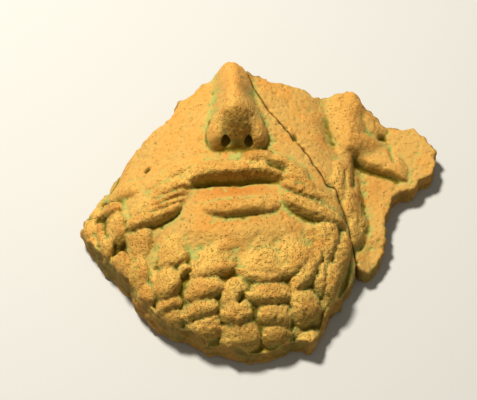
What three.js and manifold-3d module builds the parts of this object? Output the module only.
// Fragment of a mould-made terracotta antefix: the lower half of a bearded mask in high relief on its
// backing plate, broken all round and mended from two sherds. It lies on its back, face up (+Z), with
// the chin towards -Y, the forehead towards +Y and the animal ear at +X. Units are millimetres.
// The carving is worked out in the mask's own coordinates: x from the midline, y up from the mouth.

import * as THREE from "three";
import { mergeVertices } from "three/addons/utils/BufferGeometryUtils.js";
import Module from "manifold-3d";

// Driving dimensions
const HEAD_WIDTH = 116; // across the cheeks; the mask and its breaks are drawn for 116 and follow it
const PLATE_THICKNESS = 12; // backing plate, from the flat back to its plain front
const FACE_RISE = 27; // swell of the face above the plate, without the hair
const NOSE_RISE = 22; // tip of the nose above the face
const SHELL_WALL = 17; // clay left between the pressed-out back and the middle of the face
const HOLLOW_HALF_WIDTH = 37;
const HOLLOW_HALF_LENGTH = 58;
const HOLLOW_CENTRE_Y = 22;
const NOSTRIL_HALF_WIDTH = 2.4;
const JOIN_GAP = 0.45; // open join line between the two sherds
const FACET = 2.15; // size of a facet of the carved face

const UNIT = HEAD_WIDTH / 116; // one millimetre of the mask's drawing
const CLAY_COLOUR = 0xd9a45e;

// Small helpers for carving

const clamp01 = (t) => Math.min(1, Math.max(0, t));

function ease(from, to, value) {
  const t = clamp01((value - from) / (to - from));
  return t * t * (3 - 2 * t);
}

const degrees = (angle) => (angle * Math.PI) / 180;

// The greater of two heights, with the groove between them filled over a difference of reach.
function softMax(a, b, reach) {
  const near = Math.max(reach - Math.abs(a - b), 0);
  return Math.max(a, b) + (near ** 2 / (4 * reach)) * clamp01(Math.min(a, b) / reach);
}

// How far a point is along an arc, from -1 to 1 at its ends, and how far to its left. bow is how far the
// arc's middle bulges to the left of the way it runs.
function besideArc(x, y, { from, to, bow }) {
  const halfLength = Math.hypot(to[0] - from[0], to[1] - from[1]) / 2;
  const runX = (to[0] - from[0]) / (2 * halfLength);
  const runY = (to[1] - from[1]) / (2 * halfLength);
  const dx = x - (from[0] + to[0]) / 2;
  const dy = y - (from[1] + to[1]) / 2;
  const along = (dx * runX + dy * runY) / halfLength;
  return { along, side: dy * runX - dx * runY - bow * (1 - along ** 2) };
}

// A lock of hair between two ends. taper is how much narrower its far end is, lean how much higher its
// right side, edge how softly it rises (1.2) or how plumply (0.5), square how blunt its ends are (3) or how
// pointed (2), and far how much wider and softer its left side is.
const LOCK = { bow: 0, taper: 0, lean: 0.35, edge: 0.6, square: 3, far: 0.3 };
const lock = (from, to, width, height, shape) => ({ ...LOCK, from, to, width, height, ...shape });

function lockHeight(x, y, { width, height, taper, lean, edge, square, far, ...arc }) {
  const { along, side } = besideArc(x, y, arc);
  const wider = side > 0 ? far : 0;
  const half = (width / 2) * (1 + wider) * (1 - taper * clamp01((along + 1) / 2));
  const across = Math.min(1, Math.max(-1, side / half));
  const left = 1 - Math.abs(along) ** square - Math.abs(across) ** 2.2;
  return left > 0 ? height * left ** (edge + 0.6 * Math.min(wider, 1)) * (1 - lean * across) : 0;
}

const CREASE = 0.9; // difference of height over which two locks run together
const raised = (locks, x, y) => locks.reduce((high, one) => softMax(high, lockHeight(x, y, one), CREASE), 0);

// A soft groove between two ends, shallower towards them.
const groove = (from, to, width, depth, bow = 0) => ({ from, to, width, depth, bow });

function grooveDepth(x, y, { width, depth, ...arc }) {
  const { along, side } = besideArc(x, y, arc);
  return depth * clamp01(1 - along ** 4) * Math.exp(-((side / (width / 2)) ** 2));
}

// The face without its hair

const BROAD = { cheekHalf: 58, jawHalf: 72, earSideHalf: 60, chinReach: 82, browReach: 115 };
const TEMPLE = { share: 0.4, slope: 20, lowFoot: 64, highFoot: 76 };
const UNDER = { chin: 2.5, edge: 3 }; // how far the bed of the beard lies back under the chin and at its edge

// Dome of the face, and the temple that slopes from it down to the plate on the ear side.
function faceSwell(x, y) {
  const farHalf = BROAD.jawHalf + (BROAD.cheekHalf - BROAD.jawHalf) * ease(-15, 30, y);
  const halfWidth = x > 0 ? BROAD.earSideHalf : farHalf;
  const halfHeight = y < 5 ? BROAD.chinReach : BROAD.browReach;
  const reach = Math.hypot(x / halfWidth, (y - 5) / halfHeight);
  const dome = FACE_RISE * clamp01(1 - reach ** 2.2) ** 0.68;
  const foot = TEMPLE.lowFoot + (TEMPLE.highFoot - TEMPLE.lowFoot) * ease(20, 32, y);
  const temple = TEMPLE.share * FACE_RISE * ease(foot, foot - TEMPLE.slope, x) * ease(-48, -30, y);
  return softMax(dome, x > 0 ? temple : 0, 6);
}

// The bed that the hair lies on.
function bedHeight(x, y) {
  const underChin = ease(-26, -36, y - 0.12 * Math.abs(x));
  const underCheek = ease(-50, -60, x) * ease(12, 0, y);
  const atEdge = ease(-56, -78, y);
  return faceSwell(x, y) - UNDER.chin * clamp01(underChin + underCheek) - UNDER.edge * atEdge;
}

// Nose: a ridge that widens from the bridge, a ball for its tip and a rounded wing on either side.
const NOSE = { base: 17, tip: 31, bridge: 66, half: 14, bridgeHalf: 10.5, flank: 6, flankHalf: 15 };
const BALL = { lean: 0, edge: 0.7, square: 2, far: 0 };
const NOSE_BALL = lock([0, 19], [0, 41], 19, NOSE_RISE, BALL);
const NOSE_WING = lock([10.5, 17], [9.5, 33], 13, 0.5 * NOSE_RISE, BALL);
const NOSTRIL = { across: 5.6, y: 23, tilt: 50 };

function noseRise(x, y) {
  const up = clamp01((y - NOSE.tip) / (NOSE.bridge - NOSE.tip));
  const half = NOSE.half + (NOSE.bridgeHalf - NOSE.half) * ease(0, 0.5, up);
  const under = 0.25 * ease(NOSE.base, NOSE.base + 3, y) + 0.75 * ease(NOSE.base + 2, NOSE.tip - 1, y);
  const section = 0.5 + 0.5 * Math.cos(Math.PI * clamp01(Math.abs(x) / half));
  const flank = NOSE.flank * Math.exp(-((x / NOSE.flankHalf) ** 2));
  const ridge = ((NOSE_RISE * (1 - 0.45 * up) - NOSE.flank) * section ** 0.75 + flank) * under;
  return softMax(softMax(ridge, lockHeight(x, y, NOSE_BALL), 6), lockHeight(Math.abs(x), y, NOSE_WING), 8);
}

// Mouth: a recess under the moustache, a full lower lip and the chin below it.
const LIP = lock([-19, -13], [19, -13], 10.5, 5, { bow: -1.5, square: 2, far: 0 });
const RECESS = { x: -3, halfWidth: 24, top: 2.5, droop: 0.004, bottom: -12, depth: 4 };
const CHIN = { y: -29, halfWidth: 22, halfHeight: 9, rise: 3 };

function mouthRise(x, y) {
  const top = RECESS.top - RECESS.droop * (x - RECESS.x) ** 2;
  const wide = clamp01(1 - Math.abs((x - RECESS.x) / RECESS.halfWidth) ** 4) ** 0.6;
  const recess = RECESS.depth * wide * ease(top + 1, top - 1, y) * ease(RECESS.bottom, 1, y);
  const chin = CHIN.rise * Math.exp(-((x / CHIN.halfWidth) ** 2) - ((y - CHIN.y) / CHIN.halfHeight) ** 2);
  return lockHeight(x, y, LIP) + chin - recess;
}

// Hair

const MOUSTACHE = [
  // two halves of the band over the mouth, and the puffed roll that runs from it to the right
  lock([-28, 2.5], [-1, 5], 8.5, 5, { bow: 2, lean: 0.2, far: 0.9 }),
  lock([-6, 5.5], [21, 5.5], 9.5, 5, { lean: 0.2, far: 0.6 }),
  lock([0, 11], [19, 12], 10, 5.5, { lean: 0, edge: 0.9, square: 2.5 }),
  lock([8, 13], [34, -1.5], 8, 4.5, { bow: 3, lean: 0.1, edge: 0.9, far: 0.5 }),
  // left wing
  lock([-46, 3], [-18, 13], 6, 2, { lean: 0.1, edge: 1.2, far: 0.5 }),
  lock([-46, -0.5], [-25, 0], 6, 4.5, { lean: 0.3, far: 0.6 }),
  lock([-44, -7], [-26, -5.3], 5, 4.5, { lean: 0.3, far: 0.1 }),
  lock([-50, -10.5], [-27, -8.5], 5.5, 5, { lean: 0.3, far: 0.1 }),
  lock([-57, -14], [-28, -10], 8.5, 6, { bow: -3, far: 0.1 }),
  // right wing
  lock([20, 2.5], [38, -5], 4.5, 4, { bow: 1.5, lean: 0.3, far: 0.5 }),
  lock([19, -0.5], [40, -9], 6.5, 5, { bow: -0.5, lean: 0.3, far: 0.1 }),
  lock([20, -8.5], [50, -19], 9.5, 6.5, { bow: -1.5, far: 0.1 }),
  lock([34, 1], [48, -13], 6, 2, { lean: 0.3, edge: 1.2 }),
];

// Broad ridges, each under one ringlet of the beard
const RIDGE = { lean: 0, edge: 0.8 };
const RINGLETS = [
  lock([-13, -35], [-24, -78], 21, 1.8, RIDGE),
  lock([8, -35], [15, -80], 19, 1.8, RIDGE),
  lock([-34, -26], [-38, -74], 15, 1.8, RIDGE),
  lock([-5, -50], [-4, -82], 15, 1.8, RIDGE),
  lock([27, -32], [27, -82], 15, 1.8, RIDGE),
  lock([-49, -18], [-46, -70], 11, 1.5, RIDGE),
  lock([40, -20], [40, -68], 13, 1.5, RIDGE),
];

const BEARD = [
  // rolls of the ringlet left of the middle
  lock([-27, -44], [-3, -41], 11, 4.9),
  lock([-29, -53.5], [-9, -50.5], 10, 4.9),
  lock([-32, -61.5], [-13, -58.8], 7.5, 4.4),
  lock([-32, -69.5], [-12, -67.3], 9, 4.4),
  // and right of it
  lock([-4.5, -43], [20, -44], 13, 5.2, { bow: -1.8 }),
  lock([-1, -55], [21.5, -55], 9.5, 4.9, { bow: -1.2 }),
  lock([4, -63.6], [22, -64], 8, 4.4, { bow: -0.8 }),
  lock([6, -71.3], [23, -72], 8.5, 4.4, { bow: -0.6 }),
  // the comma and the two rolls between them
  lock([0.5, -48], [-11, -61], 9, 4.7, { bow: -1.5, lean: -0.1 }),
  lock([-13, -61.5], [3, -62.5], 9, 4.9, { bow: -2 }),
  lock([-14, -72], [5.5, -71], 11, 4.9, { bow: -1.5 }),
  // left jaw
  lock([-42, -36], [-25.5, -32.5], 12.5, 4.9, { bow: -1 }),
  lock([-45, -47.5], [-30, -45], 13, 6.1, { bow: -1.5 }),
  lock([-45, -57], [-30, -54.5], 8, 4.4),
  lock([-44, -63], [-29.5, -61], 7, 4.4),
  lock([-42, -69], [-29, -67.5], 7, 4.1),
  lock([-32, -44.5], [-24, -39.5], 5, 4.1),
  lock([-50, -47], [-49, -17], 10, 4.9, { bow: -1, lean: 0.1 }),
  lock([-57.5, -46], [-59.5, -26], 9, 5.8, { bow: -0.5, lean: 0.1 }),
  lock([-53, -52], [-42, -49.5], 9, 5.2),
  lock([-52, -59], [-41.5, -57], 8, 4.9),
  lock([-50, -66], [-41, -64], 7, 4.1),
  // left cheek
  lock([-60, -23], [-60.5, -5], 10, 6.1, { lean: 0 }),
  lock([-75, -12], [-63, -26.5], 11, 6.1, { lean: 0.2 }),
  lock([-76, -1], [-70, -15], 9, 5.4, { lean: 0 }),
  lock([-74, 3], [-57, -3], 8, 4.7, { far: 0.3 }),
  lock([-67, 10], [-48, 4], 8, 2.8, { edge: 1 }),
  // right jaw
  lock([14, -47], [33, -33.5], 12.5, 5.4, { bow: -1 }),
  lock([22.5, -55], [35, -31], 8.5, 5.2, { bow: -1.5 }),
  lock([37, -40], [40, -19], 12, 5.2, { bow: -1 }),
  lock([34, -55], [36.5, -39], 5.5, 4.7),
  lock([39, -57], [43.5, -38], 8, 5.4),
  lock([45.5, -44], [48.5, -25], 7, 4.9, { lean: 0.1 }),
  lock([19, -63.5], [36, -58], 13, 5.2, { bow: -0.5 }),
  lock([34.5, -66], [46, -52], 9, 4.7),
  lock([18, -74.5], [35.5, -72], 10, 5.2),
  // low swells under the chin
  lock([-20, -34.5], [-4, -32.5], 5, 2, { bow: -0.5, edge: 1 }),
  lock([2, -34], [16, -35], 5, 1.3, { bow: 0.5, edge: 1 }),
];

// The hair in front of the animal ear, and the ear itself
const SIDE_HAIR = [
  lock([53, 62], [57, 18], 18, 4, { lean: 0, edge: 1.2 }),
  lock([52.5, 60], [53.5, 42], 10, 3, { lean: 0, edge: 1.2 }),
  lock([59, 61], [63, 43], 11, 4, { lean: 0, edge: 1 }),
  lock([57.5, 46], [59, 22], 10, 3, { lean: 0, edge: 1 }),
  lock([65, 50], [73, 36], 11, 3, { lean: 0, edge: 1.2 }),
  lock([51.5, 19], [50, -5], 11, 4, { lean: 0, edge: 0.9 }),
  lock([50, 13], [46, 1], 6, 2.5, { lean: 0, edge: 1 }),
  lock([56, 8], [54, -16], 9, 3.5, { lean: 0, edge: 0.9 }),
  lock([57.5, -3], [52, -28], 9, 5, { bow: 2, lean: -0.2, edge: 0.8 }),
];
const EAR = lock([52, 28.5], [84, 11.5], 9, 7, { bow: 1, lean: 0.1, taper: 0.35, edge: 0.5, far: 2.6 });

const GROOVES = [
  groove([-66, -6], [-65, -20], 3, 2.5),
  groove([-62, -23], [-56, -24], 5, 4),
  groove([-70, -3], [-65, -6], 4, 3),
  groove([-56, -20], [-56, -42], 2.5, 2),
  groove([-1, -56], [-4, -59.5], 2.2, 4.5),
  groove([46.5, 45], [48, 20], 8, 2.5, -1),
  groove([65, 60], [66.5, 52], 5, 5),
  groove([70.5, 36], [76.5, 35], 3, 3.5, 1),
  groove([77, 36], [78.5, 18], 3, 1.5),
  groove([58, 22], [56, 0], 3, 3),
  groove([12, 7.5], [26, 5.5], 3.5, 2.5),
  groove([62, -8], [54, -29], 3, 2.5, 2.5),
];

// Height of the carved front above the flat back, at a point of the mask's drawing.
function frontHeight(x, y) {
  const beard = raised(BEARD, x, y) + raised(RINGLETS, x, y);
  const front = Math.max(noseRise(x, y), raised(MOUSTACHE, x, y), beard);
  const beside = raised([...SIDE_HAIR, EAR], x, y);
  const cut = GROOVES.reduce((depth, one) => depth + grooveDepth(x, y, one), 0);
  return PLATE_THICKNESS + Math.max(bedHeight(x, y) + front + mouthRise(x, y) + beside - cut, -2);
}

// Breaks, as corners of the drawing. The join runs from the top break to the bottom one.

const JOIN = [
  [7, 61], [9, 55], [13, 47.5], [17, 40], [23, 31.5], [28, 25], [32, 20], [36, 12], [39, 6.5],
  [42, 1.5], [45.5, 0.5], [48.5, -6], [50.5, -14], [51.5, -20.5], [53, -28], [54.5, -35],
];

const LEFT_BREAK = [
  [5, 64], [-2, 65.5], [-9, 63], [-12, 60], [-19, 57], [-27, 51], [-33, 43], [-42, 38], [-48, 32],
  [-55, 27], [-60, 21], [-64, 14], [-70, 9], [-72, 4], [-76, -1], [-78, -7], [-76, -13], [-72, -19],
  [-67, -26], [-61, -34], [-56, -40], [-54, -47], [-48, -52], [-44, -58], [-36, -64], [-28, -67],
  [-19, -73], [-12, -74], [0, -78], [8, -78], [17, -75], [21, -73], [29, -75], [32, -72],
  [36, -64], [39, -58], [45, -53], [48, -48], [53, -41],
];

const RIGHT_BREAK = [
  [56, -37], [60, -39], [65, -34], [68, -26], [70, -17], [71.5, -8], [75, 2], [80, 5], [87, 7],
  [90, 12], [97, 14], [100, 21], [99, 29], [95, 37], [90, 42], [82, 42], [76, 43], [71, 49],
  [68, 55], [63, 58], [50, 57], [45, 55.5], [39, 55], [34, 59], [20, 60], [11, 60.5],
];

// Solids

const wasm = await Module();
wasm.setup();

// A closed three.js geometry as a manifold-3d solid.
function solidOf(geometry) {
  const bare = geometry.clone();
  bare.deleteAttribute("normal");
  bare.deleteAttribute("uv");
  const merged = mergeVertices(bare, 1e-4);
  return new wasm.Manifold(new wasm.Mesh({
    numProp: 3,
    vertProperties: merged.attributes.position.array,
    triVerts: new Uint32Array(merged.index.array),
  }));
}

function geometryOf(solid) {
  const { vertProperties, triVerts } = solid.getMesh();
  const geometry = new THREE.BufferGeometry();
  geometry.setAttribute("position", new THREE.BufferAttribute(vertProperties, 3));
  geometry.setIndex(new THREE.BufferAttribute(triVerts, 1));
  geometry.computeVertexNormals();
  return geometry;
}

const corners = [...LEFT_BREAK, ...RIGHT_BREAK];
const bounds = new THREE.Box2().setFromPoints(corners.map(([x, y]) => new THREE.Vector2(x, y)));
const middle = bounds.getCenter(new THREE.Vector2());
const extent = bounds.getSize(new THREE.Vector2());

// The squares of a grid, each as its four corners, anticlockwise.
function squares(rows, columns, at) {
  const every = (count) => Array.from({ length: count }, (_, i) => i);
  return every(rows).flatMap((row) => every(columns).map((column) => [
    at(row, column), at(row + 1, column), at(row + 1, column + 1), at(row, column + 1),
  ]));
}

// Block under the carved front, larger all round than the fragment: a grid of heights, whose squares are
// split along their more level diagonal, a skirt down to the flat back and a fan of triangles that closes
// the back.
function carvedBlock() {
  const facet = FACET / UNIT;
  const wide = extent.x + 2 * facet;
  const long = extent.y + 2 * facet;
  const columns = Math.round(wide / facet);
  const rows = Math.round(long / facet);
  const grid = new THREE.PlaneGeometry(wide, long, columns, rows).translate(middle.x, middle.y, 0);
  const drawn = grid.attributes.position;
  const points = [];
  for (let i = 0; i < drawn.count; i++) {
    const x = drawn.getX(i);
    const y = drawn.getY(i);
    points.push([x * UNIT, y * UNIT, frontHeight(x, y)]);
  }
  const at = (row, column) => row * (columns + 1) + column;
  const rim = []; // anticlockwise, seen from the front
  for (let row = 0; row < rows; row++) rim.push(at(row, 0));
  for (let column = 0; column < columns; column++) rim.push(at(rows, column));
  for (let row = rows; row > 0; row--) rim.push(at(row, columns));
  for (let column = columns; column > 0; column--) rim.push(at(0, column));
  const faces = squares(rows, columns, at).flatMap(([a, b, c, d]) => {
    const level = Math.abs(points[a][2] - points[c][2]) < Math.abs(points[b][2] - points[d][2]);
    return level ? [a, b, c, a, c, d] : [a, b, d, b, c, d];
  });
  const foot = points.length;
  for (const i of rim) points.push([points[i][0], points[i][1], 0]);
  const centre = points.length;
  points.push([middle.x * UNIT, middle.y * UNIT, 0]);
  rim.forEach((here, i) => {
    const next = (i + 1) % rim.length;
    faces.push(here, foot + i, rim[next], rim[next], foot + i, foot + next, foot + i, centre, foot + next);
  });
  const block = new THREE.BufferGeometry();
  block.setAttribute("position", new THREE.Float32BufferAttribute(points.flat(), 3));
  block.setIndex(faces);
  return solidOf(block);
}

// Upright prism over an outline of the drawing, taller than the nose.
function sherdPrism(outline) {
  const shape = new THREE.Shape(outline.map(([x, y]) => new THREE.Vector2(x * UNIT, y * UNIT)));
  const depth = 2 * (PLATE_THICKNESS + FACE_RISE + NOSE_RISE);
  const prism = new THREE.ExtrudeGeometry(shape, { depth, bevelEnabled: false });
  return solidOf(prism.translate(0, 0, -depth / 4));
}

// The join, moved square to its general run, towards the ear for a positive distance.
function joinLine(distance) {
  const run = new THREE.Vector2(...JOIN.at(-1)).sub(new THREE.Vector2(...JOIN[0])).normalize();
  return JOIN.map(([x, y]) => [x - (run.y * distance) / UNIT, y + (run.x * distance) / UNIT]);
}

// Pressed-out back of the mask, open at the top break.
function backHollow() {
  const depth = PLATE_THICKNESS + FACE_RISE - SHELL_WALL;
  const hollow = new THREE.SphereGeometry(1, 36, 18);
  hollow.scale(HOLLOW_HALF_WIDTH, HOLLOW_HALF_LENGTH, depth);
  hollow.translate(0, HOLLOW_CENTRE_Y, 0);
  return solidOf(hollow);
}

// Nostrils, drilled upwards under the tip.
function nostril(side) {
  const hole = new THREE.SphereGeometry(NOSTRIL_HALF_WIDTH, 12, 8);
  const height = PLATE_THICKNESS + FACE_RISE + 0.25 * NOSE_RISE;
  hole.scale(1, 2.6, 1.2);
  hole.rotateX(degrees(NOSTRIL.tilt));
  hole.translate(side * NOSTRIL.across * UNIT, NOSTRIL.y * UNIT, height);
  return solidOf(hole);
}

const mask = carvedBlock().subtract(backHollow()).subtract(nostril(-1)).subtract(nostril(1));

function sherd(name, outline) {
  const clay = new THREE.MeshStandardMaterial({ color: CLAY_COLOUR, roughness: 0.92, metalness: 0 });
  const mesh = new THREE.Mesh(geometryOf(mask.intersect(sherdPrism(outline))), clay);
  mesh.name = name;
  return mesh;
}

const antefix = new THREE.Group();
antefix.add(sherd("beard_sherd", [...LEFT_BREAK, ...joinLine(-JOIN_GAP / 2).reverse()]));
antefix.add(sherd("ear_sherd", [...joinLine(JOIN_GAP / 2), ...RIGHT_BREAK]));
antefix.position.set(-middle.x * UNIT, -middle.y * UNIT, 0);

export default antefix;
